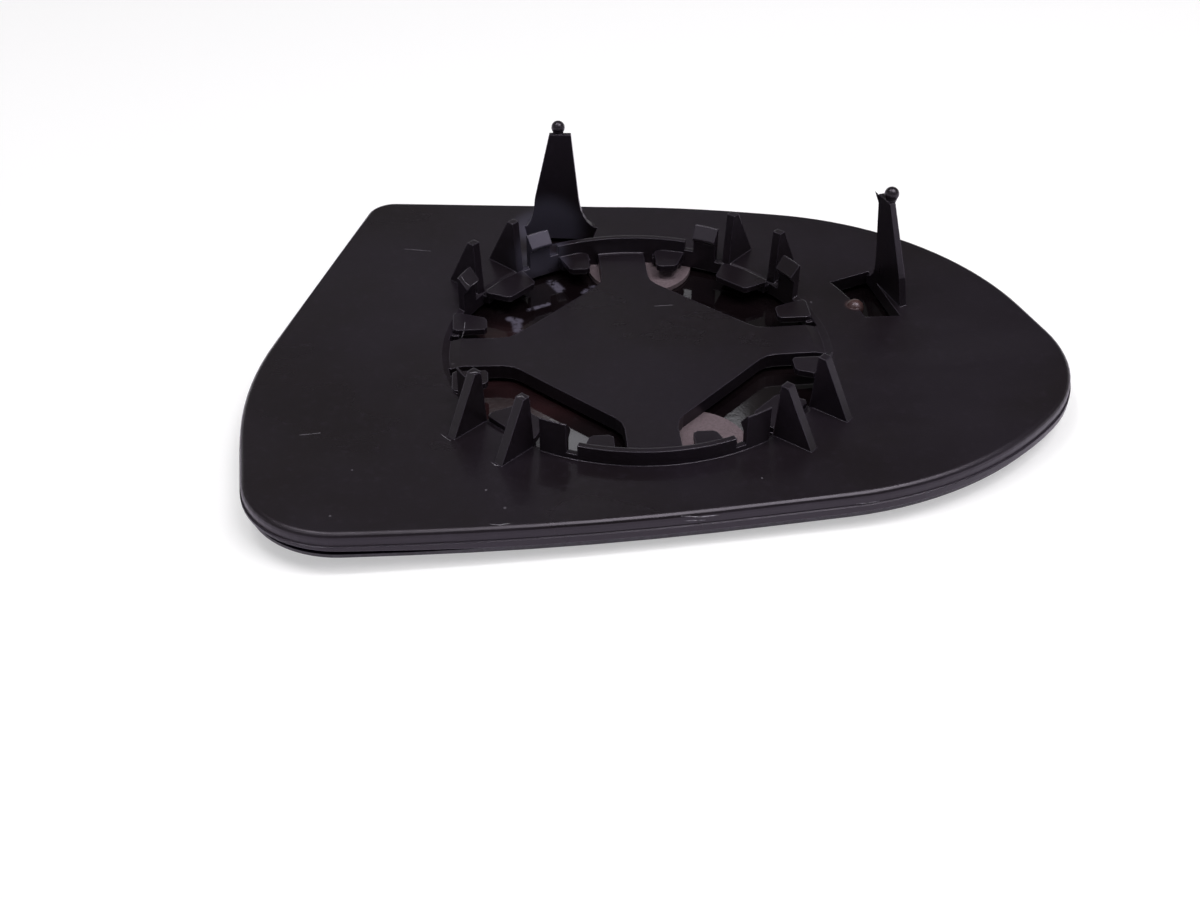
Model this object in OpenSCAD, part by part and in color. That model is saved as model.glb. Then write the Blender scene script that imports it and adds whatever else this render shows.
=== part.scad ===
// Door mirror glass with its moulded backing plate, lying face down.
// The origin is on the axis of the clip ring, on the back of the plate. +Z points out of the back.
// Every skin of the plate and the glass is part of a sphere about one centre above the back.

/* [Outline of the plate] */
// Far left corner, along X
far_left_x = -56.6; // [-62:0.2:-50]
// Far left corner, along Y
far_left_y = 63.4; // [60:0.2:68]
// Far left corner radius
far_left_r = 7; // [4:0.2:14]
// Bend of the far edge, along X
far_bend_x = 15.4; // [5:0.2:32]
// Bend of the far edge, along Y
far_bend_y = 58.9; // [56:0.1:62]
// Bend of the far edge, radius
far_bend_r = 170; // [60:1:180]
// Right shoulder, along X
right_shoulder_x = 74; // [70:0.5:80]
// Right shoulder, along Y
right_shoulder_y = 43.2; // [38:0.2:46]
// Right shoulder radius
right_shoulder_r = 62.5; // [30:0.5:68]
// Right tip, along X
right_tip_x = 88.7; // [84:0.1:94]
// Right tip, along Y
right_tip_y = -19.5; // [-24:0.5:-6]
// Right tip radius
right_tip_r = 30.2; // [12:0.2:34]
// Near right corner, along X
near_right_x = 58.9; // [52:0.1:76]
// Near right corner, along Y
near_right_y = -49.8; // [-52:0.1:-44]
// Near right corner radius
near_right_r = 69; // [30:1:74]
// Bend of the near edge, along X
near_bend_x = -18.2; // [-30:0.2:0]
// Bend of the near edge, along Y
near_bend_y = -56.6; // [-59:0.2:-56]
// Bend of the near edge, radius
near_bend_r = 790; // [300:10:900]
// Near left corner, along X
near_left_x = -73; // [-80:0.2:-68]
// Near left corner, along Y
near_left_y = -57.6; // [-60:0.2:-54]
// Near left corner radius
near_left_r = 18.5; // [12:0.5:26]
// Bend of the left edge, along X
left_bend_x = -79.2; // [-84:0.2:-76]
// Bend of the left edge, along Y
left_bend_y = -11.3; // [-20:0.1:0]
// Bend of the left edge, radius
left_bend_r = 80; // [30:1:90]

/* [Backing plate] */
// Depth of the plate at its rim, down to the glass
rim_height = 4; // [3.2:0.1:6]
// Thickness of the plate inside the rim
web_thickness = 3; // [2:0.1:3.1]
// Width of the rim that bears on the glass
rim_width = 6; // [3:0.5:10]
// Height of the thin flange at the foot of the rim
flange_height = 1.4; // [0.8:0.1:1.8]
// How far the flange stands out from the rim
flange_step = 0.3; // [0.1:0.05:0.8]
// Radius along the edge of the back
edge_round = 1.2; // [0.6:0.1:1.3]
// Gap left between rim and glass at the lifted near left corner
lifted_gap = 0.8; // [0.3:0.1:0.9]
// Length over which the lifted corner comes away from the glass
lifted_length = 32; // [20:1:45]

/* [Mirror glass] */
// Radius of the convex reflecting face
glass_radius = 1400; // [1000:50:2000]
// Thickness of the glass
glass_thickness = 2; // [1.6:0.1:3]
// How far the glass stays inside the flange
glass_inset = 1; // [0.3:0.1:2]
// Ground bevel along the reflecting face
glass_bevel = 0.4; // [0.2:0.05:0.6]

/* [Bonding pads] */
// Radius of each round bonding pad
pad_r = 11.8; // [8:0.2:14]
// Far pad centre, along X
far_pad_x = 4.1; // [-2:0.1:8]
// Far pad centre, along Y
far_pad_y = 37.8; // [34:0.2:41]
// Near pad centre, along X
near_pad_x = 6.7; // [0:0.1:10]
// Near pad centre, along Y
near_pad_y = -30.4; // [-34:0.2:-27]

/* [Clip ring] */
// Outer radius of the ring wall
ring_r = 40; // [38:0.2:42]
// Thickness of the ring wall
ring_wall = 1.2; // [1:0.1:1.8]
// Height of the low wall at the far and near side, above the origin
low_wall_height = 3.8; // [2.4:0.1:5]
// Half angle of each low wall
low_wall_half_angle = 21.5; // [16:0.5:23]
// Height of the lip between low wall and hook, above the origin
lip_height = 1.7; // [1.2:0.1:2.2]
// Depth of the groove round the ring where no wall stands
groove_depth = 0.6; // [0.3:0.05:0.8]
// Width of the gentle inner side of the groove
groove_inner_width = 2.6; // [1.5:0.1:4]
// Width of the steep outer side of the groove
groove_outer_width = 1.6; // [1:0.1:2.4]

/* [Bridge] */
// Width of the four arms
arm_width = 10.2; // [7:0.2:12]
// Distance from the axis to the ends of the sloping sides, along an arm
bridge_reach = 25.8; // [22:0.2:27]
// Radius where an arm meets a sloping side
bridge_blend_r = 5; // [1:0.5:8]

/* [Snap hooks] */
// Height of the hooks above the origin
hook_height = 8; // [6.5:0.1:10]
// Angle between an arm and the middle of the hook beside it
hook_angle = 28.4; // [27:0.2:30]
// Width of each hook
hook_width = 5.4; // [4:0.1:6]
// How far the nose stands in from the ring wall
hook_nose = 1; // [0.6:0.1:1.6]
// Height of the nose tip above the origin
hook_nose_height = 5.6; // [4.8:0.1:6]
// Thickness of the nose tip
hook_nose_tip = 0.4; // [0.2:0.1:0.8]

/* [Seat tabs] */
// Height of the tab tops above the origin, where the drive bears
seat_height = 1; // [0.8:0.05:1.2]
// Thickness of the tabs
tab_thickness = 1.3; // [0.9:0.1:1.6]
// Distance from the axis to the ends of the narrow tabs
narrow_tab_reach = 30.6; // [28.5:0.2:33]
// Distance between an arm and the narrow tab beside it
narrow_tab_gap = 2.4; // [1.6:0.1:3]
// Width of a narrow tab at its end
narrow_tab_tip = 4.3; // [3:0.1:5]
// Width of a narrow tab at its root
narrow_tab_root = 7.2; // [5.5:0.1:7.6]
// Distance from the axis to the ends of the broad tabs
broad_tab_reach = 32; // [30:0.2:34]
// Width of a broad tab at its end
broad_tab_tip = 8.1; // [6:0.1:9]
// Width of a broad tab at its root
broad_tab_root = 12.4; // [9:0.1:12.8]
// Radius at the free corners of the tabs
tab_corner_r = 0.8; // [0.3:0.1:1.2]

/* [Fins] */
// Height of the fins above the origin
fin_height = 12.2; // [9:0.2:16]
// Thickness of the fins
fin_thickness = 1.9; // [1.4:0.1:2.4]
// Distance between the two fins of a pair, middle to middle
fin_spacing = 12.2; // [10:0.2:14]
// How far the fins stand back from the edge of the ring opening
fin_setback = 0.2; // [0.1:0.1:1.2]
// Length of a fin at its foot
fin_foot = 8.6; // [6:0.2:11]
// Length of a fin at its top
fin_top = 2.4; // [1.4:0.1:3]
// How far the inner edge of a fin slopes outwards
fin_slope = 0.8; // [0:0.1:1.2]

/* [Guide stalks] */
// Height of the middle of each ball above the origin
stalk_height = 25.2; // [20:0.2:30]
// Radius of the ball tip
stalk_ball_r = 1.5; // [1.2:0.05:2]
// Distance of the middle of the ball behind the inner face
stalk_ball_setback = 1.4; // [0.8:0.1:2]
// Distance of the middle of the ball to the steep side of the blade
stalk_ball_offset = 0.45; // [0:0.05:0.8]
// Height of the cone that carries the ball
stalk_cone_height = 4; // [3:0.1:6]
// Height from the top of the blade to the middle of the ball
stalk_ball_rise = 1.2; // [1:0.1:2]
// Width of a stalk at its top
stalk_top_width = 4.8; // [3.6:0.2:6]
// Width of a stalk where its foot begins to flare
stalk_waist_width = 10.1; // [8:0.1:12]
// Height at which the foot begins to flare
stalk_waist_height = 8; // [6:0.2:10]
// Reach of the foot on the steep side, from the middle of the blade
stalk_foot_reach = 8.4; // [6.6:0.1:9.4]
// How far the waist stands to the flat side of the middle
stalk_waist_shift = 1; // [0:0.1:1.6]
// Hollow of the flare, as a share of its depth
stalk_hollow = 0.35; // [0.1:0.05:0.6]
// Thickness of a stalk at its foot
stalk_foot_thickness = 1.6; // [1.3:0.1:3]
// Thickness of a stalk at its top
stalk_top_thickness = 1.2; // [1:0.1:2]
// Far stalk, middle of its inner face, along X
far_stalk_x = -12.8; // [-16:0.2:-10]
// Far stalk, distance of its inner face from the clip ring, along Y
far_stalk_gap = 10.2; // [9.4:0.2:12]
// Far stalk, turn of its face about Z
far_stalk_turn = -5.7; // [-12:0.1:0]
// Far stalk, how far it leans in over its height
far_stalk_lean = 0.1; // [0:0.1:2]
// Far stalk, reach of its foot on the slanted side
far_stalk_foot = 8.6; // [6.6:0.1:9.4]
// Distance from the clip ring to the window before the far stalk
far_window_gap = 5.4; // [3:0.2:6]
// Angle by which each end of the windows before the stalks narrows towards the ring
window_taper = 12; // [0:1:20]
// Right stalk, distance of its inner face from the clip ring, along X
right_stalk_gap = 15.5; // [13:0.1:18]
// Right stalk, middle of its inner face, along Y
right_stalk_y = 15.8; // [13:0.1:17]
// Right stalk, turn of its face about Z
right_stalk_turn = -75; // [-88:0.1:-70]
// Right stalk, how far it leans in over its height
right_stalk_lean = 3.7; // [0:0.1:4]
// Right stalk, reach of its foot on the slanted side
right_stalk_foot = 6.6; // [6.4:0.1:9.4]
// Distance from the clip ring to the window before the right stalk
right_window_gap = 9.3; // [8:0.2:11]
// Width of the window before the right stalk
right_window_width = 18.6; // [16:0.2:20]
// How far the middle of that window lies in front of the stalk and to its near side
right_window_shift = 0.5; // [0.3:0.1:1.2]
// Turn of that window about Z
right_window_turn = -82; // [-88:0.5:-76]
// Radius of the rounded lug at the right window
window_lug_r = 1.9; // [1:0.1:2.4]
// Height of the top of the lug above the origin
window_lug_height = 2; // [1.4:0.1:2.4]
// Place of the lug along Y, on the edge of the window
window_lug_y = 11.6; // [8:0.2:14]

/* [Hidden] */

// Greatest distance between an arc of the outline and its chords
arc_sag = 0.025;
// Steps round the edge of the back
round_steps = 4;
// Facets of the round surfaces
fine = 96;
// Facets of the large spheres
sphere_fine = 256;
// How far a cutting body runs past what it cuts
over = 1;
// How far the top loop of the rim stands above the back, so that the back trims it cleanly
trim = 0.05;
// Height of the closing point over the blanks, and depth of the one under them
cap_height = 6;
cap_depth = 25;
// How deep the raised features are rooted in the plate
root_depth = 1.2;
// Distance between the groove and the outside of the ring wall
groove_clearance = 0.15;
// Steps along the flare of a stalk
flare_steps = 5;
// Width of the cone under a ball, as a share of the ball
cone_share = 0.93;

OUTLINE = [
    [far_left_x, far_left_y, far_left_r],
    [far_bend_x, far_bend_y, far_bend_r],
    [right_shoulder_x, right_shoulder_y, right_shoulder_r],
    [right_tip_x, right_tip_y, right_tip_r],
    [near_right_x, near_right_y, near_right_r],
    [near_bend_x, near_bend_y, near_bend_r],
    [near_left_x, near_left_y, near_left_r],
    [left_bend_x, left_bend_y, left_bend_r]
];
corner_count = len(OUTLINE);

// Depth of the reflecting face below the back, on the axis
front_depth = rim_height + glass_thickness;
// Radius of the back of the plate, which is also the height of the common centre
centre_height = glass_radius - front_depth;
ring_inner_r = ring_r - ring_wall;
// Height at which the flared foot of a stalk ends, just under the dished back
stalk_level = 0.7;
lug_shoulder = window_lug_height - window_lug_r;
hook_spread = 360 * hook_width / (2 * PI * ring_r);
// Angle between the middle of a side and the hook beside it
hook_edge_angle = hook_angle - hook_spread / 2;
quadrants = [0, 90, 180, 270];
pad_grey = [0.62, 0.56, 0.59];
plastic_black = [0.13, 0.12, 0.14];
glass_silver = [0.75, 0.78, 0.8];

// Corner i of the outline, counted round
function corner(i) = OUTLINE[(i + corner_count) % corner_count];
function point_of(c) = [c[0], c[1]];
function unit(v) = v / norm(v);
function heading(i) = unit(point_of(corner(i + 1)) - point_of(corner(i)));
function side_length(i) = norm(point_of(corner(i + 1)) - point_of(corner(i)));
// Angle through which the outline turns at corner i
function turn(i) = acos(heading(i - 1) * heading(i));
// Length of straight side that the full arc at corner i would use up
function tangent(i) = corner(i)[2] * tan(turn(i) / 2);
// Share of the wished radius that both neighbouring sides have room for
function room(i) = min(
    1,
    side_length(i - 1) / (tangent(i - 1) + tangent(i)),
    side_length(i) / (tangent(i) + tangent(i + 1))
);
function arc_r(i) = corner(i)[2] * room(i);
function arc_centre(i) =
    point_of(corner(i))
    + unit(heading(i) - heading(i - 1)) * arc_r(i) / cos(turn(i) / 2);
function arc_steps(i) = max(2, ceil(turn(i) / (2 * acos(1 - arc_sag / arc_r(i)))));
// Direction of the outward normal where the arc at corner i begins
function arc_start(i) = atan2(heading(i - 1)[0], -heading(i - 1)[1]);

// Points of the outline, clockwise, moved in by inset
function outline(inset = 0) = [
    for (i = [0 : corner_count - 1])
        for (k = [0 : arc_steps(i)])
            let (a = arc_start(i) - turn(i) * k / arc_steps(i))
                arc_centre(i) + (arc_r(i) - inset) * [cos(a), sin(a)]
];

// Height of the dished surface that lies h above the back of the plate
function dish(p, h) = centre_height - sqrt(pow(centre_height - h, 2) - p * p);

// Closed blank whose rim runs through levels of [inset, height above the dished back]
module dished_blank(levels) {
    loops = [for (l = levels) [for (p = outline(l[0])) [p[0], p[1], dish(p, l[1])]]];
    n = len(loops[0]);
    m = len(levels);
    points = concat([for (l = loops) each l], [[0, 0, -cap_depth], [0, 0, cap_height]]);
    sides = [
        for (j = [0 : m - 2])
            for (k = [0 : n - 1])
                let (a = j * n + k, b = j * n + (k + 1) % n)
                    each [[a, b, b + n], [a, b + n, a + n]]
    ];
    floor_fan = [for (k = [0 : n - 1]) [m * n, (k + 1) % n, k]];
    top_fan = [for (k = [0 : n - 1]) [m * n + 1, (m - 1) * n + k, (m - 1) * n + (k + 1) % n]];
    polyhedron(points, concat(sides, floor_fan, top_fan));
}

// Ball about the common centre whose skin lies h above the dished back, poles turned away
module dish_ball(h) {
    translate([0, 0, centre_height])
        rotate([90, 0, 0])
            sphere(r = centre_height - h, $fn = sphere_fine);
}

// One copy in each quadrant
module four_ways() {
    for (a = quadrants)
        rotate([0, 0, a])
            children();
}

// One copy on each side of each arm, eight in all
module beside_arms() {
    four_ways() {
        children();
        mirror([0, 1, 0])
            children();
    }
}

// Solid turned about the axis from a profile in radius and height, spread evenly about angle a
module ring_sector(a, spread) {
    rotate([0, 0, a - spread / 2])
        rotate_extrude(angle = spread, $fn = fine)
            children();
}

module plate_shell() {
    ledge = flange_height - rim_height;
    levels = concat(
        [
            [0, -rim_height - over],
            [0, ledge],
            [flange_step, ledge],
            [flange_step, -edge_round]
        ],
        [
            for (k = [1 : round_steps - 1])
                let (a = 90 * k / round_steps)
                    [flange_step + edge_round * (1 - cos(a)), edge_round * (sin(a) - 1)]
        ],
        [[flange_step + edge_round, trim]]
    );
    difference() {
        intersection() {
            dished_blank(levels);
            dish_ball(-rim_height);
        }
        dish_ball(0);
    }
}

// Shallow space under the web, inside the rim, that the bonding pads fill in part
module bond_recess() {
    difference() {
        translate([0, 0, -front_depth - over])
            linear_extrude(front_depth + over)
                offset(delta = -rim_width)
                    polygon(outline());
        dish_ball(-web_thickness);
    }
}

// Wedge under the near left corner, where the plate has lifted off the glass
module corner_relief() {
    toward = unit(point_of(corner(6)));
    corner_distance = norm(arc_centre(6)) + arc_r(6);
    slope = lifted_gap / lifted_length;
    start = corner_distance - lifted_length;
    shift = slope * (centre_height + rim_height);
    rise = slope * start + shift * shift / (2 * (centre_height + rim_height));
    difference() {
        translate([0, 0, -front_depth - over])
            linear_extrude(front_depth + over)
                polygon(outline(-over));
        translate([-toward[0] * shift, -toward[1] * shift, -rise])
            dish_ball(-rim_height);
    }
}

module bridge_plan() {
    half = arm_width / 2;
    offset(r = -bridge_blend_r)
        offset(delta = bridge_blend_r) {
            square([2 * ring_r, arm_width], center = true);
            square([arm_width, 2 * ring_r], center = true);
            polygon([
                for (a = quadrants)
                    for (s = [-half, half])
                        [bridge_reach * cos(a) - s * sin(a), bridge_reach * sin(a) + s * cos(a)]
            ]);
        }
}

module ring_opening() {
    translate([0, 0, -rim_height - over])
        linear_extrude(rim_height + 3 * over)
            difference() {
                circle(r = ring_inner_r, $fn = fine);
                bridge_plan();
            }
}

// Shallow groove round the ring, left out where a wall or a hook stands
module ring_groove() {
    level = dish([ring_r, 0], 0);
    bottom_r = ring_r - groove_outer_width;
    steepness = groove_depth / (groove_outer_width - groove_clearance);
    rotate_extrude($fn = fine)
        polygon([
            [bottom_r - groove_inner_width, level],
            [bottom_r, level - groove_depth],
            [ring_r - groove_clearance, level],
            [ring_r - groove_clearance + over, level + over * steepness],
            [bottom_r - groove_inner_width, level + over * steepness]
        ]);
}

// Post and nose of the hooks, in radius and height
module hook_profile() {
    nose_r = ring_inner_r - hook_nose;
    polygon([
        [ring_inner_r, -root_depth],
        [ring_r, -root_depth],
        [ring_r, hook_height],
        [ring_r - ring_wall / 4, hook_height],
        [nose_r, hook_nose_height],
        [nose_r, hook_nose_height - hook_nose_tip],
        [ring_inner_r, hook_nose_height - hook_nose_tip - hook_nose]
    ]);
}

module hook() {
    ring_sector(hook_angle, hook_spread)
        hook_profile();
}

// Hook, lip, low wall, lip and hook in one run, about the middle of the far or near side
module hooked_wall() {
    lip_spread = hook_edge_angle - low_wall_half_angle;
    difference() {
        ring_sector(0, 2 * hook_angle + hook_spread)
            hook_profile();
        ring_sector(0, 2 * hook_edge_angle)
            wall_cut(low_wall_height, hook_height);
        for (s = [-1, 1])
            ring_sector(s * (low_wall_half_angle + lip_spread / 2), lip_spread)
                wall_cut(lip_height, low_wall_height);
    }
}

module wall_cut(level, top) {
    translate([ring_inner_r - hook_nose - over, level])
        square([ring_wall + hook_nose + 2 * over, top - level + over / 2]);
}

module narrow_tab() {
    inner = arm_width / 2 + narrow_tab_gap;
    tongue_end = ring_r - groove_outer_width;
    tongue_root = sqrt(tongue_end * tongue_end - inner * inner);
    translate([0, 0, seat_height - tab_thickness])
        linear_extrude(tab_thickness)
            offset(r = tab_corner_r)
                offset(delta = -tab_corner_r)
                    polygon([
                        [narrow_tab_reach, inner],
                        [tongue_root, inner],
                        [tongue_root, inner + narrow_tab_root],
                        [narrow_tab_reach, inner + narrow_tab_tip]
                    ]);
    tab_root(atan2(inner + narrow_tab_root / 2, ring_inner_r), narrow_tab_root);
}

module broad_tab() {
    tongue_end = ring_r - groove_outer_width;
    half_root = broad_tab_root / 2;
    tongue_root = sqrt(tongue_end * tongue_end - half_root * half_root);
    half_tip = broad_tab_tip / 2;
    rotate([0, 0, 45]) {
        translate([0, 0, seat_height - tab_thickness])
            linear_extrude(tab_thickness)
                offset(r = tab_corner_r)
                    offset(delta = -tab_corner_r)
                        polygon([
                            [broad_tab_reach, -half_tip],
                            [tongue_root, -half_root],
                            [tongue_end, 0],
                            [tongue_root, half_root],
                            [broad_tab_reach, half_tip]
                        ]);
        tab_root(0, broad_tab_root);
    }
}

// Low curved block that joins a tab to the plate under the groove
module tab_root(a, width) {
    top = dish([ring_r, 0], 0) - groove_depth - groove_clearance;
    inner_r = ring_r - groove_outer_width - root_depth;
    ring_sector(a, 360 * width / (2 * PI * ring_r))
        translate([inner_r, -web_thickness + root_depth])
            square([ring_r - ring_wall / 2 - inner_r, web_thickness - root_depth + top]);
}

module fin() {
    inner = sqrt(pow(ring_inner_r + fin_setback, 2) - pow((fin_spacing - fin_thickness) / 2, 2));
    rotate([0, 0, 45])
        translate([inner, fin_spacing / 2 + fin_thickness / 2, 0])
            rotate([90, 0, 0])
                linear_extrude(fin_thickness)
                    polygon([
                        [0, -root_depth],
                        [fin_foot, -root_depth],
                        [fin_foot, dish([ring_r + fin_foot, 0], 0)],
                        [fin_top, fin_height],
                        [fin_slope, fin_height],
                        [0, dish([ring_r, 0], 0)]
                    ]);
}

// Points of a flare from the waist at x to the foot at reach
function flare(x, reach) =
    let (
        waist = [x, stalk_waist_height],
        foot = [reach, stalk_level],
        middle = (waist + foot) / 2,
        pull = middle + 2 * stalk_hollow * ([x, stalk_level] - middle)
    )
    [
        for (k = [0 : flare_steps])
            let (t = k / flare_steps)
                (1 - t) * (1 - t) * waist + 2 * t * (1 - t) * pull + t * t * foot
    ];

function reversed(list) = [for (k = [len(list) - 1 : -1 : 0]) list[k]];

// Upright blade with a flared foot and a ball tip, its inner face on the local XZ plane.
// Its steep side faces +X, its slanted side has the foot reach given.
module guide_stalk(lean, slant_foot) {
    blade_top = stalk_height - stalk_ball_rise;
    half_top = stalk_top_width / 2;
    half_waist = stalk_waist_width / 2;
    steep = flare(half_waist - stalk_waist_shift, stalk_foot_reach);
    slanted = flare(-half_waist - stalk_waist_shift, -slant_foot);
    intersection() {
        translate([0, stalk_foot_reach, 0])
            rotate([90, 0, 0])
                linear_extrude(2 * stalk_foot_reach)
                    polygon(concat(
                        [[-half_top, blade_top], [half_top, blade_top]],
                        steep,
                        [[stalk_foot_reach, -root_depth], [-slant_foot, -root_depth]],
                        reversed(slanted)
                    ));
        translate([-2 * stalk_foot_reach, 0, 0])
            rotate([90, 0, 90])
                linear_extrude(4 * stalk_foot_reach)
                    polygon([
                        [0, -root_depth - over],
                        [stalk_foot_thickness, -root_depth - over],
                        [stalk_foot_thickness, stalk_level],
                        [stalk_top_thickness - lean, blade_top + over],
                        [-lean, blade_top + over],
                        [0, stalk_level]
                    ]);
    }
    translate([-stalk_ball_offset, stalk_ball_setback - lean, stalk_height]) {
        sphere(r = stalk_ball_r, $fn = fine);
        translate([0, 0, -stalk_cone_height])
            cylinder(
                r1 = stalk_ball_r / 4,
                r2 = stalk_ball_r * cone_share,
                h = stalk_cone_height - stalk_ball_r / 4,
                $fn = fine
            );
    }
}

module far_stalk_place() {
    translate([far_stalk_x, ring_r + far_stalk_gap, 0])
        rotate([0, 0, far_stalk_turn])
            children();
}

module right_stalk_place() {
    translate([ring_r + right_stalk_gap, right_stalk_y, 0])
        rotate([0, 0, right_stalk_turn])
            mirror([1, 0, 0])
                children();
}

// Window whose outer side is the local X axis
module window_block(left, right) {
    depth = left + right;
    narrowing = depth * tan(window_taper);
    translate([0, 0, -rim_height - over])
        linear_extrude(rim_height + 4 * over)
            polygon([
                [-left, 0],
                [narrowing - left, -depth],
                [right - narrowing, -depth],
                [right, 0]
            ]);
}

module right_window_place() {
    translate([
        ring_r + right_stalk_gap - right_window_shift,
        right_stalk_y - right_window_shift,
        0
    ])
        rotate([0, 0, right_window_turn])
            children();
}

module keep_out(r) {
    translate([0, 0, -rim_height - 2 * over])
        cylinder(r = r, h = rim_height + 6 * over, $fn = fine);
}

module stalk_windows() {
    difference() {
        far_stalk_place()
            window_block(far_stalk_foot, stalk_foot_reach);
        keep_out(ring_r + far_window_gap);
    }
    difference() {
        right_window_place()
            window_block(right_window_width / 2, right_window_width / 2);
        keep_out(ring_r + right_window_gap);
    }
}

// Rounded lug that stands on the ring side of the right window
module window_lug() {
    window_r = ring_r + right_window_gap;
    translate([sqrt(window_r * window_r - window_lug_y * window_lug_y), window_lug_y, 0]) {
        translate([0, 0, -web_thickness + root_depth])
            cylinder(r = window_lug_r, h = web_thickness - root_depth + lug_shoulder, $fn = fine);
        translate([0, 0, lug_shoulder])
            sphere(r = window_lug_r, $fn = fine);
    }
}

module backing_plate() {
    color(plastic_black) {
        difference() {
            plate_shell();
            bond_recess();
            corner_relief();
            ring_opening();
            ring_groove();
            stalk_windows();
        }
        for (a = [90, 270])
            rotate([0, 0, a])
                hooked_wall();
        for (a = [0, 180])
            rotate([0, 0, a]) {
                hook();
                mirror([0, 1, 0])
                    hook();
            }
        beside_arms()
            narrow_tab();
        four_ways() {
            broad_tab();
            fin();
            rotate([0, 0, 90])
                mirror([0, 1, 0])
                    fin();
        }
        far_stalk_place()
            guide_stalk(far_stalk_lean, far_stalk_foot);
        right_stalk_place()
            guide_stalk(right_stalk_lean, right_stalk_foot);
        window_lug();
    }
}

module mirror_glass() {
    levels = [
        [glass_inset + glass_bevel + over / 4, -front_depth - over / 4],
        [glass_inset, glass_bevel - front_depth],
        [glass_inset, over - rim_height]
    ];
    color(glass_silver)
        difference() {
            intersection() {
                dished_blank(levels);
                dish_ball(-front_depth);
            }
            dish_ball(-rim_height);
        }
}

module bonding_pad(x, y) {
    color(pad_grey)
        difference() {
            intersection() {
                translate([x, y, -front_depth])
                    cylinder(r = pad_r, h = front_depth, $fn = fine);
                dish_ball(-rim_height);
            }
            dish_ball(-web_thickness);
        }
}

module far_bonding_pad() {
    bonding_pad(far_pad_x, far_pad_y);
}

module near_bonding_pad() {
    bonding_pad(near_pad_x, near_pad_y);
}

backing_plate();
mirror_glass();
far_bonding_pad();
near_bonding_pad();
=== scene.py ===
"""Car door mirror glass, seen from behind: looks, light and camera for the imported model."""
import math
import random

import bmesh
import bpy
from mathutils import Matrix, Vector
from mathutils.bvhtree import BVHTree


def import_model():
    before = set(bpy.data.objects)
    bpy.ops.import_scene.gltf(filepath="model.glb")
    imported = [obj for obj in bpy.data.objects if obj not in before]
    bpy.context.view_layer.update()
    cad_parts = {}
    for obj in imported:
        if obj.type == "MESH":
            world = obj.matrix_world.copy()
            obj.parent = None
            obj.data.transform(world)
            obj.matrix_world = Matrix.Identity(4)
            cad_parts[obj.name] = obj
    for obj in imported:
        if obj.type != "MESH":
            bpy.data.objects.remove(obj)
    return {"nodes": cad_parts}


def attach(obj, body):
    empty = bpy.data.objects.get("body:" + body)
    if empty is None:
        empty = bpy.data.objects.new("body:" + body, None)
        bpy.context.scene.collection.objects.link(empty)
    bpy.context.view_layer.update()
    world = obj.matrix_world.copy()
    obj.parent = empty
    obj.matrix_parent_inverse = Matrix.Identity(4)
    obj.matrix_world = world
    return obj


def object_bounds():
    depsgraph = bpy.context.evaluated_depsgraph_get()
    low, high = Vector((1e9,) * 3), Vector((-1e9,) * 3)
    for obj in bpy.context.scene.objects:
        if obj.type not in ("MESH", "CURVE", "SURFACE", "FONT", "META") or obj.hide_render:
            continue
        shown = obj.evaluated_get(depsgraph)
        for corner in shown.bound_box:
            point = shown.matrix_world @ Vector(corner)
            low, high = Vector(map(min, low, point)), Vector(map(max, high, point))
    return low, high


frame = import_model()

CAD_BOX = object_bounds()
MM = 0.001

# The photograph's frame, in pixels, and the camera that it was taken with
PHOTO_W, PHOTO_H = 1200, 900
SENSOR_MM = 36.0
FOCAL_PX = 1370.0
CAMERA_POS = Vector((-25.9, -233.8, 155.6)) * MM
CAMERA_PITCH = math.radians(37.796)
CAMERA_YAW = math.radians(4.481)
CAMERA_ROLL = math.radians(0.159)
CLIP_START = 0.01

# Floor under the lowest point of the part: what the camera sees, and what lights the part.
# Its glow rises from the first level to the second over this span of distance.
FLOOR_Z = CAD_BOX[0][2] - 0.1 * MM
FLOOR_SIZE = 6.0
FLOOR_WHITE = (0.62, 0.62, 0.62, 1)
FLOOR_BOUNCE = (0.88, 0.83, 0.93, 1)
FLOOR_GLOW, FAR_FLOOR_GLOW = 0.42, 0.76
GLOW_SPAN = (0.3, 1.7)

# Radiance of the room as the part sees it: pale walls up to the first height, and a dim
# ceiling from the second on; heights are the upward part of a direction, as are the ends
# of the ceiling from left to right
ROOM_WHITE = (1, 1, 1, 1)
WALL_LEVEL = 0.9
WALL_TOP, CEILING_START = 0.05, 0.25
CEILING_LEFT, CEILING_RIGHT = 0.16, 0.075
LEFT_END, RIGHT_END = -0.15, 0.2

# Lamps: name, place, size, level (a white card is 1) and colour; all aim at the origin
WARM_WHITE = (1.0, 0.98, 1.0)
LAMPS = (("key", (0.25, -0.2, 0.77), (0.5, 0.4), 5.5, WARM_WHITE),
         ("strip", (0.0, -0.02, 0.85), (1.3, 0.05), 14.0, WARM_WHITE),
         ("strip_left", (-0.25, 0.03, 0.85), (0.4, 0.05), 21.0, WARM_WHITE))
FILLS = (("right_fill", (0.62, -0.32, 0.57), (0.35, 0.3), 1.6, (0.95, 0.92, 1.0)),
         ("left_fill", (-0.5, -0.4, 0.63), (0.35, 0.3), 0.8, (0.95, 0.95, 1.0)))

# Bright panes behind the part, mirrored in the back of the glass: name, x, z, size, level
PANES = (("pane_left", 0.028, 0.448, (0.034, 0.046), 2.2),
         ("pane_right", 0.1285, 0.449, (0.014, 0.031), 2.2),
         ("pane_dim", -0.015, 0.448, (0.05, 0.046), 0.55),
         ("pane_low", 0.095, 0.378, (0.012, 0.014), 1.2))
PANE_Y = 0.6
PANE_COLOUR = (0.93, 0.93, 1.0)

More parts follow.
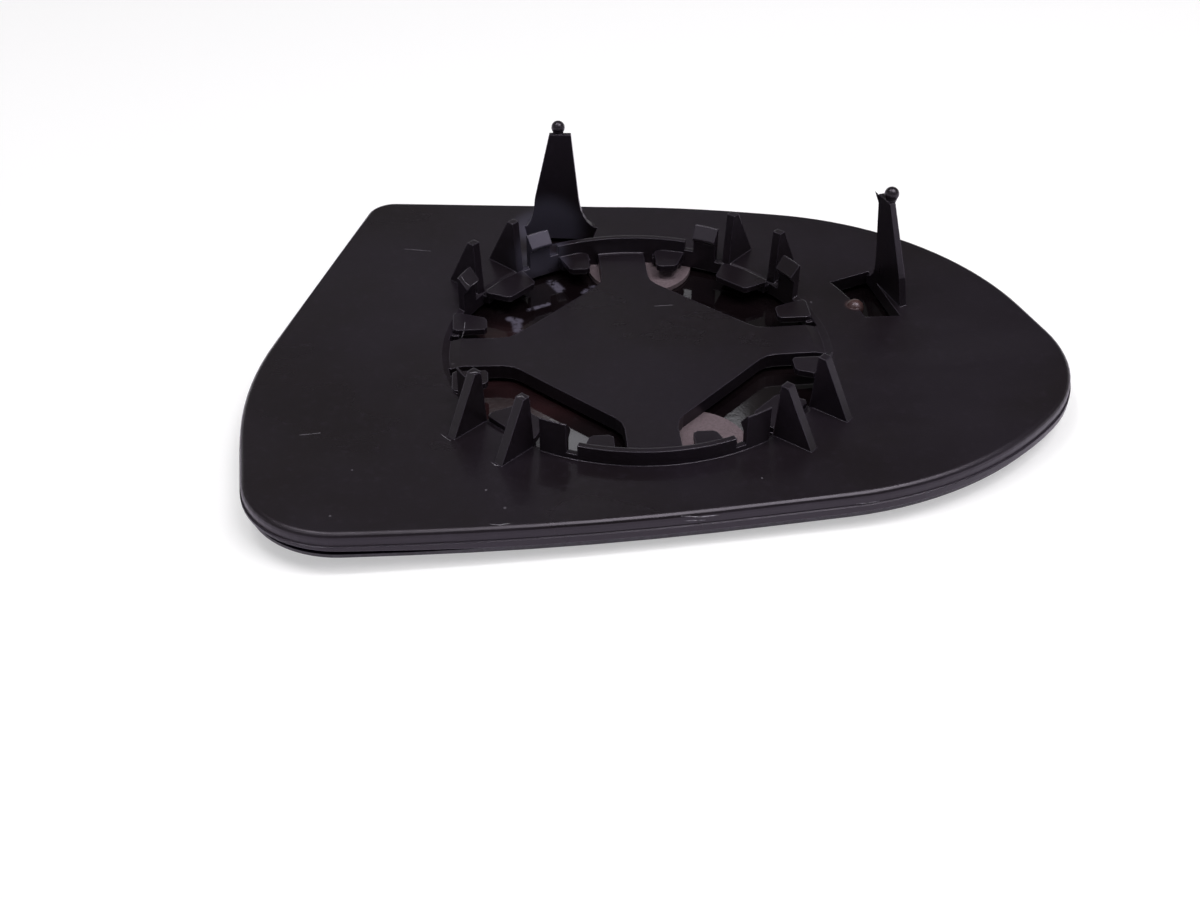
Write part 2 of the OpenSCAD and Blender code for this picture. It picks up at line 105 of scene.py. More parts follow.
# Noises are given as scale, detail and roughness; what they switch, as the span of the
# noise over which it comes in. Bumps are given as strength and height.
# Colour sockets of the Mix node, and the full core of a soft spot or line as a share of it
MIX_FACTOR, MIX_A, MIX_B, MIX_RESULT = 0, 6, 7, 2
SPOT_CORE, LINE_CORE = 0.5, 0.3

# Moulded plastic
PLASTIC_IOR, PLASTIC_SPECULAR = 1.48, 0.53
CLOUD, CLOUD_SPAN, CLOUD_ROUGH_SPAN = (22.0, 4.0, 0.55), (0.36, 0.64), (0.3, 0.7)
GRAIN = (1900.0, 2.0, 0.6)
SPECKLE, SPECKLE_SPAN = (520.0, 3.0, 0.7), (0.52, 0.75)
FLOW, FLOW_SPAN = (60.0, 3.0, 0.5), (0.3, 0.7)
PLASTIC_SHEEN = (0.95, 0.88, 1.0, 1)
PLASTIC_BLACK = (0.0076, 0.0053, 0.0066, 1)
PLASTIC_CLOUD = (0.0090, 0.0063, 0.0098, 1)
PLASTIC_SPECKLE, SPECKLE_SHARE = (0.019, 0.0145, 0.021, 1), 0.45
# Edges are lightened with this colour: edge wear together with a painted highlight
EDGE_WEAR_AND_HIGHLIGHT, EDGE_WEAR_AND_HIGHLIGHT_SHARE = (0.048, 0.041, 0.056, 1), 0.65
PLASTIC_ROUGH = (0.27, 0.36)
FLOW_ROUGH = (-0.03, 0.03)
EDGE_POLISH = 0.1
EDGE_RADIUS, EDGE_SAMPLES = 0.28 * MM, 8
EDGE_TURN = (0.93, 0.998)
FLOW_STRETCH, FLOW_TURN = (0.35, 1.6, 1), 0.5
FLOW_BUMP = (0.03, 0.3 * MM)
GRAIN_BUMP = (0.3, 0.03 * MM)
WEAR_BUMP = (0.4, 0.04 * MM)

# Marks of use, as places in the photograph: hairlines, the last a painted highlight on the
# left bridge arm, and specks with their radius in mm
HAIRLINES_AND_HIGHLIGHT_LINE = (((405, 249), (430, 251)), ((300, 435), (320, 433)), ((655, 306), (673, 305)),
             ((452, 364), (512, 367)))
HAIRLINE_WIDTH = 0.16 * MM
SPECKS = (((330, 516), 0.3), ((505, 508), 0.35), ((486, 490), 0.3), ((762, 478), 0.25),
          ((352, 470), 0.25), ((811, 302), 0.3))
WEAR_AND_HIGHLIGHT_COLOUR, WEAR_AND_HIGHLIGHT_SHARE = (0.15, 0.14, 0.16, 1), 0.6
WEAR, WEAR_SPAN, WEAR_LEAST = (700.0, 2.0, 0.5), (0.3, 0.5), 0.25

# Painted bluish sheen, standing in for light, on the far left hook and the foot of the far
# stalk behind it: places in the photograph, and reaches in mm
PAINTED_SHEEN_SPOTS = (((548, 228), 10), ((540, 252), 8))
PAINTED_SHEEN_COLOUR, PAINTED_SHEEN_SHARE = (0.062, 0.058, 0.084, 1), 0.7

# Stub beside the right window, with a painted brownish-pink glint
LUG_GLINT_PLACE = Vector((47.9, 11.6, 0.5)) * MM
LUG_GLINT_REACH = 2.6 * MM
LUG_GLINT_COLOUR = (0.060, 0.032, 0.030, 1)

# Threads and chips of moulding flash: paths in the photograph, and half widths in mm
THREADS = ((((465, 322), (464, 331), (461, 340)), 0.09),
           (((461, 276), (465, 282), (470, 286)), 0.09),
           (((471, 286), (478, 281)), 0.08),
           (((441, 434), (446, 438), (451, 441)), 0.07),
           (((491, 462), (495, 465), (499, 466)), 0.07))
RIM_CHIPS = (((681, 516), (700, 517), (719, 515)), ((684, 521), (706, 520)),
             ((856, 504), (868, 503), (880, 501)), ((490, 524), (500, 525), (510, 523)))
FIN_BURRS = (((470, 373), (476, 372), (481, 374)), ((517, 397), (522, 396), (526, 399)))
CHIP_HALF_WIDTH = 0.1
FLASH_SEED = 11
FLASH_STEPS = 14
SLIVER_WIDTHS, SLIVER_HEIGHTS = (0.6, 1.25), (0.5, 0.9)
LARGEST_STEP = 0.9 * MM
FLASH_IOR, FLASH_SPECULAR = 1.46, 0.5
STREAK, STREAK_SPAN, STREAK_ROUGH_SPAN = (900.0, 3.0, 0.6), (0.35, 0.65), (0.3, 0.7)
FLASH_DARK, FLASH_PALE = (0.07, 0.064, 0.077, 1), (0.26, 0.245, 0.28, 1)
FLASH_ROUGH = (0.3, 0.5)
FLASH_BUMP = (0.4, 0.05 * MM)

# Burr at the top corner of the right stalk: where it grows, its tip, and its shape
STALK_BURR_FOOT = ((880, 197), (879, 203))
STALK_BURR_TIP = (875, 191)
BURR_HALF_DEPTH = 0.35 * MM
BURR_MIDDLE, BURR_BULGE = 0.55, 0.06

# Glass: a mirror face that looks down, a varnished back that looks up, a ground edge
GLASS_IOR, GLASS_SPECULAR = 1.52, 0.5
FACE_NORMAL_Z, BACK_NORMAL_Z = (-0.97, -0.93), (0.6, 0.8)
FILM, VARNISH_SPAN, SILVER_SPAN = (55.0, 3.0, 0.6), (0.35, 0.65), (0.3, 0.7)
FILM_ROUGH_SPAN = (0.35, 0.7)
DUST, DUST_SPAN = (1100.0, 2.0, 0.6), (0.35, 0.65)
SPRAY, SPRAY_SPAN = (240.0, 4.0, 0.65), (0.6, 0.72)
VARNISH_DARK, VARNISH_LIGHT = (0.0034, 0.0020, 0.0026, 1), (0.0064, 0.0042, 0.0048, 1)
SPRAY_COLOUR, SPRAY_SHARE = (0.018, 0.015, 0.017, 1), 0.25
GROUND_DARK, GROUND_LIGHT = (0.016, 0.014, 0.019, 1), (0.034, 0.031, 0.040, 1)
SILVER_DARK, SILVER_LIGHT = (0.50, 0.515, 0.545, 1), (0.56, 0.57, 0.60, 1)
GLASS_ROUGH = (0.05, 0.09)
GROUND_ROUGH, FACE_POLISH = 0.3, 0.03
ETCHED_BUMP = (0.12, 0.03 * MM)

# Place of a brownish patch painted on the back of the glass, seen through the left windows
BROWN_PLACE = Vector((-27.0, -4.0, -3.7)) * MM
BROWN_REACH = 24 * MM
BROWN_COLOUR, BROWN_SPAN, BROWN_LEAST = (0.019, 0.0078, 0.0088, 1), (0.3, 0.6), 0.4

# Painted reflections: pale streaks on the varnish, as lines in the photograph, with their
# reach in mm
PAINTED_REFLECTION_LINES = (((510, 319), (519, 321), 1.3), ((516, 322), (519, 334), 1.5),
          ((529, 310), (548, 304), 0.9), ((552, 282), (560, 290), 1.6),
          ((583, 292), (594, 287), 1.0))
PAINTED_REFLECTION_COLOUR = (0.085, 0.078, 0.105, 1)
REFLECTION_BREAKUP, REFLECTION_BREAKUP_SPAN, REFLECTION_BREAKUP_LEAST = (420.0, 3.0, 0.6), (0.38, 0.58), 0.05

# Back of the glass, a sphere: its lowest point and radius. The painted shade in the gap under
# the flange has its full depth left of the first x and is gone at the second.
GLASS_BACK_Z = -4.0 * MM
GLASS_BACK_RADIUS = 1400 * MM
GAP_SHADE_DEPTH = 0.95 * MM
GAP_SHADE_BLUR = 0.08 * MM
GAP_SHADE_SPAN_X = (-46 * MM, -4 * MM)
GAP_SHADE_COLOUR = (0.0012, 0.0008, 0.0020, 1)

# Bonding foam
FOAM_IOR, FOAM_SPECULAR = 1.45, 0.3
CELLS, CELL_SPAN = (1500.0, 2.0, 0.6), (0.3, 0.7)
PORES, PORE_SPAN = (2600.0, 1.0, 0.5), (0.58, 0.72)
STAIN, STAIN_SPAN = (160.0, 3.0, 0.6), (0.45, 0.7)
FOAM_DARK, FOAM_PALE = (0.118, 0.089, 0.099, 1), (0.150, 0.115, 0.128, 1)
STAIN_COLOUR, STAIN_SHARE = (0.115, 0.086, 0.096, 1), 0.4
PORE_COLOUR, PORE_SHARE = (0.08, 0.06, 0.068, 1), 0.3
FOAM_ROUGH = (0.75, 0.9)
FOAM_BUMP = (0.5, 0.12 * MM)


def view_axes():
    """Right, down and forward of the photograph's camera."""
    cp, sp = math.cos(CAMERA_PITCH), math.sin(CAMERA_PITCH)
    level = Matrix(((1, 0, 0), (0, -sp, -cp), (0, cp, -sp)))
    view = Matrix.Rotation(CAMERA_ROLL, 3, "Z") @ level @ Matrix.Rotation(CAMERA_YAW, 3, "Z")
    return view.row[0].copy(), view.row[1].copy(), view.row[2].copy()


VIEW_RIGHT, VIEW_DOWN, VIEW_FORWARD = view_axes()


def sight(pixel):
    """Direction of the sight line through a pixel, one unit deep."""
    across = (pixel[0] - PHOTO_W / 2) / FOCAL_PX
    down = (pixel[1] - PHOTO_H / 2) / FOCAL_PX
    return VIEW_FORWARD + VIEW_RIGHT * across + VIEW_DOWN * down


def surface_of(node):
    mesh = frame["nodes"][node].data
    places = [v.co for v in mesh.vertices]
    return BVHTree.FromPolygons(places, [list(p.vertices) for p in mesh.polygons])


MOULDING = surface_of("backing_plate")
GLASS = surface_of("mirror_glass")


def surface_at(pixel, surface=MOULDING):
    """Place and normal where the sight line of a pixel meets a surface."""
    place, normal, _, _ = surface.ray_cast(CAMERA_POS, sight(pixel).normalized())
    return place, normal


def beside(place, pixel):
    """Point on the sight line of a pixel that is as deep as place."""
    return CAMERA_POS + sight(pixel) * (place - CAMERA_POS).dot(VIEW_FORWARD)


class Shade:
    """A node material in the making, with helpers that add its nodes."""

    def __init__(self, name, ior, specular):
        self.material = bpy.data.materials.new(name)
        self.material.use_nodes = True
        self.tree = self.material.node_tree
        self.shader = self.tree.nodes["Principled BSDF"]
        self.feed(self.shader.inputs["IOR"], ior)
        self.feed(self.shader.inputs["Specular IOR Level"], specular)
        self.place = self.add("ShaderNodeTexCoord").outputs["Object"]
        self.normal = self.add("ShaderNodeNewGeometry").outputs["Normal"]

    def add(self, kind, **settings):
        node = self.tree.nodes.new(kind)
        for key, value in settings.items():
            setattr(node, key, value)
        return node

    def feed(self, socket, value):
        """Links a socket, or sets a constant straight on the input."""
        if isinstance(value, bpy.types.NodeSocket):
            self.tree.links.new(value, socket)
        else:
            socket.default_value = value

    def noise(self, scale, detail, roughness, stretch=(1, 1, 1), turn=0.0):
        mapping = self.add("ShaderNodeMapping")
        self.feed(mapping.inputs["Vector"], self.place)
        self.feed(mapping.inputs["Scale"], stretch)
        self.feed(mapping.inputs["Rotation"], (0, 0, turn))
        texture = self.add("ShaderNodeTexNoise")
        self.feed(texture.inputs["Vector"], mapping.outputs["Vector"])
        self.feed(texture.inputs["Scale"], scale)
        self.feed(texture.inputs["Detail"], detail)
        self.feed(texture.inputs["Roughness"], roughness)
        return texture.outputs["Fac"]

    def remap(self, value, low, high, out_low=0.0, out_high=1.0):
        """Maps low..high onto out_low..out_high, held at both ends."""
        node = self.add("ShaderNodeMapRange", interpolation_type="SMOOTHSTEP")
        self.feed(node.inputs["Value"], value)
        self.feed(node.inputs["From Min"], low)
        self.feed(node.inputs["From Max"], high)
        self.feed(node.inputs["To Min"], out_low)
        self.feed(node.inputs["To Max"], out_high)
        return node.outputs["Result"]

    def maths(self, operation, a, b):
        node = self.add("ShaderNodeMath", operation=operation)
        self.feed(node.inputs[0], a)
        self.feed(node.inputs[1], b)
        return node.outputs["Value"]

    def times(self, a, b):
        return self.maths("MULTIPLY", a, b)

    def without(self, a, b):
        return self.maths("SUBTRACT", a, b)

    def most(self, values):
        best = values[0]
        for value in values[1:]:
            best = self.maths("MAXIMUM", best, value)
        return best

    def vectors(self, operation, a, b, output="Vector"):
        node = self.add("ShaderNodeVectorMath", operation=operation)
        self.feed(node.inputs[0], a)
        self.feed(node.inputs[1], b)
        return node.outputs[output]

    def mix(self, factor, a, b):
        node = self.add("ShaderNodeMix", data_type="RGBA")
        self.feed(node.inputs[MIX_FACTOR], factor)
        self.feed(node.inputs[MIX_A], a)
        self.feed(node.inputs[MIX_B], b)
        return node.outputs[MIX_RESULT]

    def bump(self, height, strength, distance, normal=None):
        node = self.add("ShaderNodeBump")
        self.feed(node.inputs["Height"], height)
        self.feed(node.inputs["Strength"], strength)
        self.feed(node.inputs["Distance"], distance)
        if normal is not None:
            self.feed(node.inputs["Normal"], normal)
        return node.outputs["Normal"]

    def soft_edges(self, radius):
        node = self.add("ShaderNodeBevel", samples=EDGE_SAMPLES)
        self.feed(node.inputs["Radius"], radius)
        return node.outputs["Normal"]

    def axis(self, vector, name):
        node = self.add("ShaderNodeSeparateXYZ")
        self.feed(node.inputs[0], vector)
        return node.outputs[name]

    def near_spot(self, place, radius):
        """One at place, and nothing beyond radius from it."""
        distance = self.vectors("DISTANCE", self.place, tuple(place), "Value")
        return self.remap(distance, radius * SPOT_CORE, radius, 1.0, 0.0)

    def near_line(self, start, end, width):
        """One along the line from start to end, and nothing beyond width from it."""
        run = end - start
        offset = self.vectors("SUBTRACT", self.place, tuple(start))
        along = self.vectors("DOT_PRODUCT", offset, tuple(run / run.length_squared), "Value")
        held = self.maths("MINIMUM", self.maths("MAXIMUM", along, 0.0), 1.0)
        closest = self.add("ShaderNodeVectorMath", operation="SCALE")
        self.feed(closest.inputs[0], tuple(run))
        self.feed(closest.inputs["Scale"], held)
        distance = self.vectors("DISTANCE", offset, closest.outputs["Vector"], "Value")
        return self.remap(distance, width * LINE_CORE, width, 1.0, 0.0)

    def finish(self, colour, roughness, normal, metallic=0.0):
        self.feed(self.shader.inputs["Base Color"], colour)
        self.feed(self.shader.inputs["Roughness"], roughness)
        self.feed(self.shader.inputs["Metallic"], metallic)
        self.feed(self.shader.inputs["Normal"], normal)
        return self.material


def marks_of_use_and_painted_highlight(s):
    """One at the hairlines and specks, which break up along their length; the last hairline is
    a painted highlight, not wear.
    """
    marks = [s.near_line(surface_at(a)[0], surface_at(b)[0], HAIRLINE_WIDTH)
             for a, b in HAIRLINES_AND_HIGHLIGHT_LINE]
    marks += [s.near_spot(surface_at(pixel)[0], radius * MM) for pixel, radius in SPECKS]
    broken = s.remap(s.noise(*WEAR), *WEAR_SPAN, WEAR_LEAST, 1.0)
    return s.times(s.times(s.most(marks), broken), WEAR_AND_HIGHLIGHT_SHARE)


def black_plastic():
    """Moulded plastic: cloudy satin black, fine grain, rounded edges that catch the light and
    are lightened by wear and a painted highlight, wear with one painted highlight line, a
    painted bluish sheen and a painted glint on the stub.
    """
    s = Shade("moulded_black_plastic", PLASTIC_IOR, PLASTIC_SPECULAR)
    s.feed(s.shader.inputs["Specular Tint"], PLASTIC_SHEEN)
    cloud = s.noise(*CLOUD)
    grain = s.noise(*GRAIN)
    speckled = s.remap(s.noise(*SPECKLE), *SPECKLE_SPAN, 0.0, SPECKLE_SHARE)
    flow = s.noise(*FLOW, FLOW_STRETCH, FLOW_TURN)

    colour = s.mix(s.remap(cloud, *CLOUD_SPAN), PLASTIC_BLACK, PLASTIC_CLOUD)
    colour = s.mix(speckled, colour, PLASTIC_SPECKLE)
    rounded = s.soft_edges(EDGE_RADIUS)
    turn = s.vectors("DOT_PRODUCT", rounded, s.normal, "Value")
    edge = s.remap(turn, *EDGE_TURN, 1.0, 0.0)
    # Rounded edges lightened: edge wear and a painted highlight
    colour = s.mix(s.times(edge, EDGE_WEAR_AND_HIGHLIGHT_SHARE), colour, EDGE_WEAR_AND_HIGHLIGHT)
    # Marks of use, and one painted highlight line along the left bridge arm
    worn_and_highlit = marks_of_use_and_painted_highlight(s)
    colour = s.mix(worn_and_highlit, colour, WEAR_AND_HIGHLIGHT_COLOUR)
    # Painted bluish sheen on the far left hook and the foot of the far stalk
    painted_sheen = s.most([s.near_spot(surface_at(pixel)[0], reach * MM) for pixel, reach in PAINTED_SHEEN_SPOTS])
    colour = s.mix(s.times(painted_sheen, PAINTED_SHEEN_SHARE), colour, PAINTED_SHEEN_COLOUR)
    # Painted brownish-pink glint on the stub beside the right window
    colour = s.mix(s.near_spot(LUG_GLINT_PLACE, LUG_GLINT_REACH), colour, LUG_GLINT_COLOUR)

    rough = s.remap(cloud, *CLOUD_ROUGH_SPAN, *PLASTIC_ROUGH)
    rough = s.maths("ADD", rough, s.remap(flow, *FLOW_SPAN, *FLOW_ROUGH))
    rough = s.without(rough, s.times(edge, EDGE_POLISH))
    normal = s.bump(flow, *FLOW_BUMP, rounded)
    normal = s.bump(grain, *GRAIN_BUMP, normal)
    normal = s.bump(worn_and_highlit, *WEAR_BUMP, normal)
    return s.finish(colour, rough, normal)


def flash_plastic():
    """Slivers of the same plastic, streaked from dark grey to pale."""
    s = Shade("flash_plastic", FLASH_IOR, FLASH_SPECULAR)
    streak = s.noise(*STREAK)
    colour = s.mix(s.remap(streak, *STREAK_SPAN), FLASH_DARK, FLASH_PALE)
    rough = s.remap(streak, *STREAK_ROUGH_SPAN, *FLASH_ROUGH)
    return s.finish(colour, rough, s.bump(streak, *FLASH_BUMP))


def painted_gap_shade(s):
    """Painted shade in the gap: one high on the edge of the glass near the left corner, where
    the flange stands off.
    """
    flat = s.vectors("MULTIPLY", s.place, (1, 1, 0))
    squared = s.vectors("DOT_PRODUCT", flat, s.place, "Value")
    rise = s.maths("ADD", s.times(squared, 0.5 / GLASS_BACK_RADIUS), GLASS_BACK_Z)
    depth = s.without(rise, s.axis(s.place, "Z"))
    share = s.remap(s.axis(s.place, "X"), *GAP_SHADE_SPAN_X, 1.0, 0.0)
    past = s.without(depth, s.times(share, GAP_SHADE_DEPTH))
    return s.remap(past, -GAP_SHADE_BLUR, GAP_SHADE_BLUR, 1.0, 0.0)


# Painted reflections: pale streaks on the varnish, broken up by noise
def painted_reflections_on_varnish(s):
    reflection_lines = [s.near_line(surface_at(a, GLASS)[0], surface_at(b, GLASS)[0], reach * MM)
              for a, b, reach in PAINTED_REFLECTION_LINES]
    patchy = s.remap(s.noise(*REFLECTION_BREAKUP), *REFLECTION_BREAKUP_SPAN, REFLECTION_BREAKUP_LEAST, 1.0)
    return s.times(s.most(reflection_lines), patchy)


def coated_glass():
    """Mirror on the face, dark brown varnish with painted reflections on the back, ground edge
    between them with painted shade in the gap under the flange.
    """
    s = Shade("coated_glass", GLASS_IOR, GLASS_SPECULAR)
    facing = s.axis(s.normal, "Z")
    face = s.remap(facing, *FACE_NORMAL_Z, 1.0, 0.0)
    back = s.remap(facing, *BACK_NORMAL_Z)
    edge = s.without(1.0, s.most((face, back)))
    film = s.noise(*FILM)
    dust = s.noise(*DUST)
    sprayed = s.remap(s.noise(*SPRAY), *SPRAY_SPAN, 0.0, SPRAY_SHARE)

    varnish = s.mix(s.remap(film, *VARNISH_SPAN), VARNISH_DARK, VARNISH_LIGHT)
    patchy = s.remap(film, *BROWN_SPAN, BROWN_LEAST, 1.0)
    brown = s.times(s.near_spot(BROWN_PLACE, BROWN_REACH), patchy)
    varnish = s.mix(brown, varnish, BROWN_COLOUR)
    varnish = s.mix(sprayed, varnish, SPRAY_COLOUR)
    # Painted reflections on the varnish
    varnish = s.mix(painted_reflections_on_varnish(s), varnish, PAINTED_REFLECTION_COLOUR)
    ground = s.mix(s.remap(dust, *DUST_SPAN), GROUND_DARK, GROUND_LIGHT)
    silver = s.mix(s.remap(film, *SILVER_SPAN), SILVER_DARK, SILVER_LIGHT)
    # Painted shade in the gap under the flange, on the edge of the glass
    gap_shade = s.times(painted_gap_shade(s), edge)
    colour = s.mix(back, s.mix(gap_shade, ground, GAP_SHADE_COLOUR), varnish)
    colour = s.mix(face, colour, silver)

    rough = s.remap(film, *FILM_ROUGH_SPAN, *GLASS_ROUGH)
    rough = s.maths("ADD", rough, s.times(edge, GROUND_ROUGH))
    rough = s.without(rough, s.times(face, FACE_POLISH))
    # Where the gap shade is painted, the glass also loses its reflection
    s.feed(s.shader.inputs["Specular IOR Level"], s.remap(gap_shade, 0.0, 1.0, GLASS_SPECULAR, 0.0))
    etched = s.times(dust, s.without(1.0, face))
    return s.finish(colour, rough, s.bump(etched, *ETCHED_BUMP), face)


def bonding_foam():
    """Pale matt foam with fine cells, open pores and faint stains."""
    s = Shade("bonding_foam", FOAM_IOR, FOAM_SPECULAR)
    cells = s.noise(*CELLS)
    pores = s.remap(s.noise(*PORES), *PORE_SPAN)
    stained = s.remap(s.noise(*STAIN), *STAIN_SPAN, 0.0, STAIN_SHARE)
    colour = s.mix(s.remap(cells, *CELL_SPAN), FOAM_DARK, FOAM_PALE)
    colour = s.mix(stained, colour, STAIN_COLOUR)
    colour = s.mix(s.times(pores, PORE_SHARE), colour, PORE_COLOUR)
    rough = s.remap(cells, *CELL_SPAN, *FOAM_ROUGH)
    return s.finish(colour, rough, s.bump(s.without(cells, pores), *FOAM_BUMP))


def dress(node, material):
    for slot in frame["nodes"][node].material_slots:
        slot.material = material


def spread(points, steps):
    """Points at even steps along a line of straight stretches."""
    out = []
    for k in range(steps + 1):
        t = k / steps * (len(points) - 1)
        i = min(int(t), len(points) - 2)
        out.append(points[i].lerp(points[i + 1], t - i))
    return out


def add_sliver(bm, path, half_width, ups):
    """A thin closed ridge along path, half sunk in its ground and pointed at both ends."""
    rings = []
    last = len(path) - 1
    for k, (place, up) in enumerate(zip(path, ups)):
        run = (path[min(k + 1, last)] - path[max(k - 1, 0)]).normalized()
        side = run.cross(up).normalized()
        taper = math.sqrt(math.sin(math.pi * (k + 0.5) / (last + 1)))
        w = half_width * taper * random.uniform(*SLIVER_WIDTHS)
        h = half_width * taper * random.uniform(*SLIVER_HEIGHTS)
        corners = (side * w, up * h, side * -w, up * -h)
        rings.append([bm.verts.new(place + corner) for corner in corners])
    for a, b in zip(rings, rings[1:]):
        for j in range(4):
            bm.faces.new((a[j], a[j - 1], b[j - 1], b[j]))
    bm.faces.new(rings[0])
    bm.faces.new(reversed(rings[-1]))


def add_spur(bm, feet, tip):
    """A closed spike from a short row of feet to its tip."""
    first, last = feet
    across = VIEW_FORWARD * BURR_HALF_DEPTH
    corners = (first - across, first + across, last + across, last - across)
    base = [bm.verts.new(corner) for corner in corners]
    bulge = (tip - last) * BURR_BULGE
    middle = [bm.verts.new(v.co.lerp(tip, BURR_MIDDLE) + bulge) for v in base]
    point = bm.verts.new(tip)
    for a, b in zip(range(4), (1, 2, 3, 0)):
        bm.faces.new((base[a], base[b], middle[b], middle[a]))
        bm.faces.new((middle[a], middle[b], point))
    bm.faces.new(reversed(base))


def add_piece(name, bm, material):
    bmesh.ops.recalc_face_normals(bm, faces=bm.faces)
    mesh = bpy.data.meshes.new(name)
    bm.to_mesh(mesh)
    bm.free()
    obj = bpy.data.objects.new(name, mesh)
    bpy.context.collection.objects.link(obj)
    mesh.materials.append(material)
    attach(obj, "root")


def surface_sliver(bm, pixels, half_width):
    """A sliver of flash along pixels of the photograph, bridging what lies far behind."""
    path, ups = [], []
    for pixel in spread([Vector(pixel) for pixel in pixels], FLASH_STEPS):
        place, up = surface_at(pixel)
        if path and (place is None or (place - path[-1]).length > LARGEST_STEP):
            place, up = beside(path[-1], pixel), ups[-1]
        path.append(place)
        ups.append(up)
    add_sliver(bm, path, half_width * MM, ups)


def moulding_flash(pale, plastic):
    random.seed(FLASH_SEED)
    threads = bmesh.new()
    for pixels, half_width in THREADS:
        surface_sliver(threads, pixels, half_width)
    add_piece("flash_threads", threads, pale)
    chips = bmesh.new()
    for pixels in RIM_CHIPS + FIN_BURRS:
        surface_sliver(chips, pixels, CHIP_HALF_WIDTH)
    add_piece("flash_chips", chips, pale)
    burr = bmesh.new()
    feet = [surface_at(pixel)[0] for pixel in STALK_BURR_FOOT]
    add_spur(burr, feet, beside(feet[0], STALK_BURR_TIP))
    add_piece("stalk_burr", burr, plastic)


def blend(tree, kind, factor, a, b):
    """A shader that mixes or adds two others."""
    node = tree.nodes.new(kind)
    if factor is not None:
        tree.links.new(factor, node.inputs["Fac"])
    shaders = [socket for socket in node.inputs if socket.type == "SHADER"]
    tree.links.new(a.outputs[0], shaders[0])
    tree.links.new(b.outputs[0], shaders[1])
    return node


def floor_and_backdrop():
    """Pale floor: the camera sees it near white from above, with the part's soft shadow,
    and looks through it from below."""
    bpy.ops.mesh.primitive_plane_add(size=FLOOR_SIZE, location=(0, 0, FLOOR_Z))
    floor = bpy.context.object
    floor.name = "floor"
    material = bpy.data.materials.new("floor_white")
    material.use_nodes = True
    tree = material.node_tree
    tree.nodes.remove(tree.nodes["Principled BSDF"])
    place = tree.nodes.new("ShaderNodeTexCoord").outputs["Object"]
    away = tree.nodes.new("ShaderNodeVectorMath")
    away.operation = "LENGTH"
    tree.links.new(place, away.inputs[0])
    rise = tree.nodes.new("ShaderNodeMapRange")
    rise.interpolation_type = "SMOOTHSTEP"
    tree.links.new(away.outputs["Value"], rise.inputs["Value"])
    rise.inputs["From Min"].default_value, rise.inputs["From Max"].default_value = GLOW_SPAN
    rise.inputs["To Min"].default_value = FLOOR_GLOW
    rise.inputs["To Max"].default_value = FAR_FLOOR_GLOW

    bounce = tree.nodes.new("ShaderNodeBsdfDiffuse")
    bounce.inputs["Color"].default_value = FLOOR_BOUNCE
    lit = tree.nodes.new("ShaderNodeBsdfDiffuse")
    lit.inputs["Color"].default_value = FLOOR_WHITE
    glow = tree.nodes.new("ShaderNodeEmission")
    tree.links.new(rise.outputs["Result"], glow.inputs["Strength"])
    clear = tree.nodes.new("ShaderNodeBsdfTransparent")
    below = tree.nodes.new("ShaderNodeNewGeometry").outputs["Backfacing"]
    to_camera = tree.nodes.new("ShaderNodeLightPath").outputs["Is Camera Ray"]
    seen = blend(tree, "ShaderNodeAddShader", None, lit, glow)
    seen = blend(tree, "ShaderNodeMixShader", below, seen, clear)
    surface = blend(tree, "ShaderNodeMixShader", to_camera, bounce, seen)
    tree.links.new(surface.outputs[0], tree.nodes["Material Output"].inputs["Surface"])
    floor.data.materials.append(material)


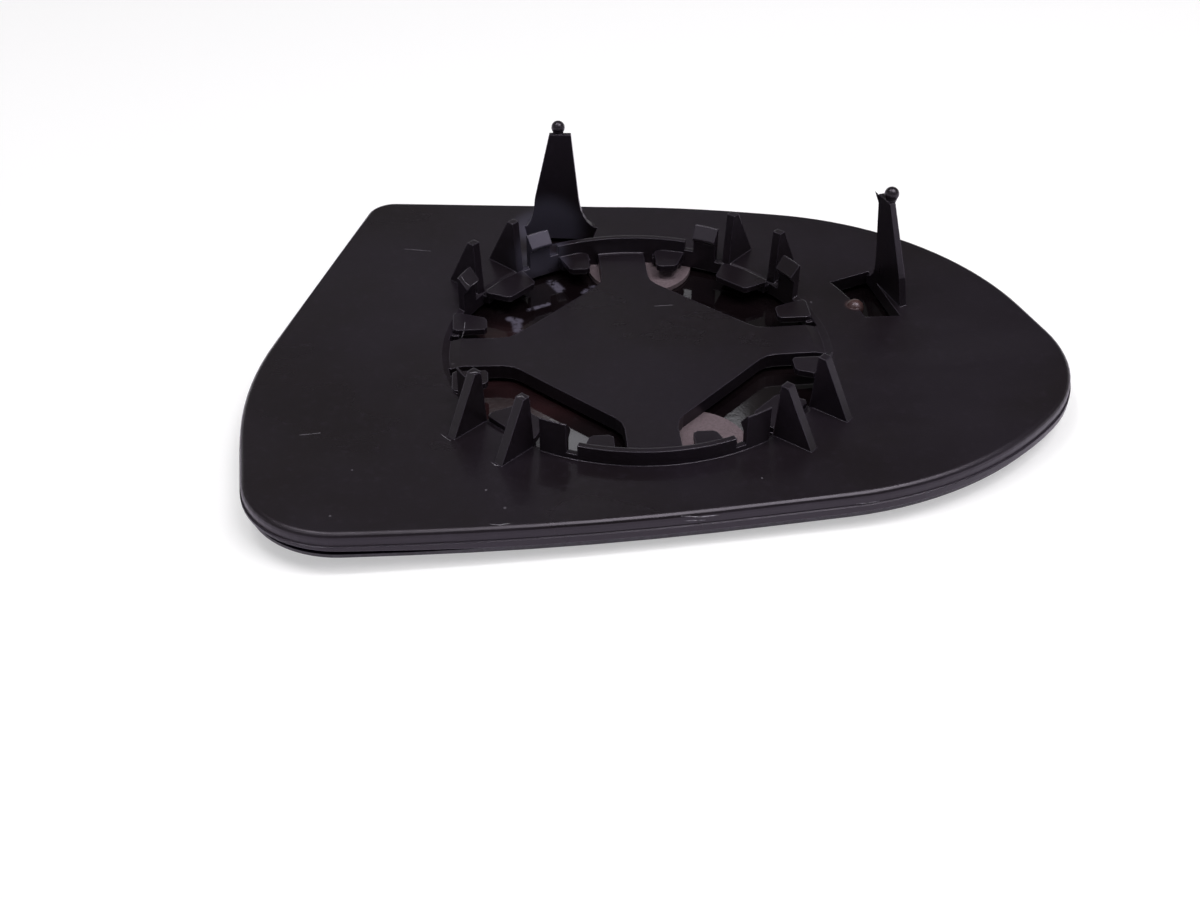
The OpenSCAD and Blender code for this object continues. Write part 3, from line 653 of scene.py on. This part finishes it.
def world():
    """White to the camera; to the part, pale walls with a dim ceiling above them."""
    studio = bpy.data.worlds.new("studio")
    bpy.context.scene.world = studio
    studio.use_nodes = True
    tree = studio.node_tree
    nodes, links = tree.nodes, tree.links
    direction = nodes.new("ShaderNodeSeparateXYZ")
    links.new(nodes.new("ShaderNodeTexCoord").outputs["Generated"], direction.inputs[0])
    ceiling = nodes.new("ShaderNodeMapRange")
    links.new(direction.outputs["X"], ceiling.inputs["Value"])
    ceiling.inputs["From Min"].default_value = LEFT_END
    ceiling.inputs["From Max"].default_value = RIGHT_END
    ceiling.inputs["To Min"].default_value = CEILING_LEFT
    ceiling.inputs["To Max"].default_value = CEILING_RIGHT
    level = nodes.new("ShaderNodeMapRange")
    level.interpolation_type = "SMOOTHSTEP"
    links.new(direction.outputs["Z"], level.inputs["Value"])
    level.inputs["From Min"].default_value = WALL_TOP
    level.inputs["From Max"].default_value = CEILING_START
    level.inputs["To Min"].default_value = WALL_LEVEL
    links.new(ceiling.outputs[0], level.inputs["To Max"])
    room = nodes["Background"]
    room.inputs["Color"].default_value = ROOM_WHITE
    links.new(level.outputs["Result"], room.inputs["Strength"])
    seen = nodes.new("ShaderNodeBackground")
    seen.inputs["Color"].default_value = ROOM_WHITE
    to_camera = nodes.new("ShaderNodeLightPath").outputs["Is Camera Ray"]
    surface = blend(tree, "ShaderNodeMixShader", to_camera, room, seen)
    links.new(surface.outputs[0], nodes["World Output"].inputs["Surface"])


def area_light(name, place, target, size, level, colour):
    """A soft lamp: level is its radiance, where a white card is 1."""
    data = bpy.data.lights.new(name, "AREA")
    data.shape = "RECTANGLE"
    data.size, data.size_y = size
    data.energy = level * math.pi * size[0] * size[1]
    data.color = colour
    obj = bpy.data.objects.new(name, data)
    bpy.context.collection.objects.link(obj)
    obj.location = place
    obj.rotation_euler = (Vector(target) - Vector(place)).to_track_quat("-Z", "Y").to_euler()
    obj.visible_camera = False


def lamps():
    for name, place, size, level, colour in LAMPS:
        area_light(name, place, (0, 0, 0), size, level, colour)
    for name, x, z, size, level in PANES:
        area_light(name, (x, PANE_Y, z), (x, 0, z), size, level, PANE_COLOUR)
    for name, place, size, level, colour in FILLS:
        area_light(name, place, (0, 0, 0), size, level, colour)


def camera():
    data = bpy.data.cameras.new("camera")
    data.sensor_width = SENSOR_MM
    data.lens = FOCAL_PX / PHOTO_W * SENSOR_MM
    data.clip_start = CLIP_START
    obj = bpy.data.objects.new("camera", data)
    bpy.context.collection.objects.link(obj)
    turn = Matrix((VIEW_RIGHT, -VIEW_DOWN, -VIEW_FORWARD)).transposed()
    obj.matrix_world = Matrix.Translation(CAMERA_POS) @ turn.to_4x4()
    bpy.context.scene.camera = obj


def main():
    bpy.context.scene.view_settings.view_transform = "Standard"
    plastic, foam = black_plastic(), bonding_foam()
    dress("backing_plate", plastic)
    dress("mirror_glass", coated_glass())
    dress("far_bonding_pad", foam)
    dress("near_bonding_pad", foam)
    moulding_flash(flash_plastic(), plastic)
    floor_and_backdrop()
    world()
    lamps()
    camera()


main()
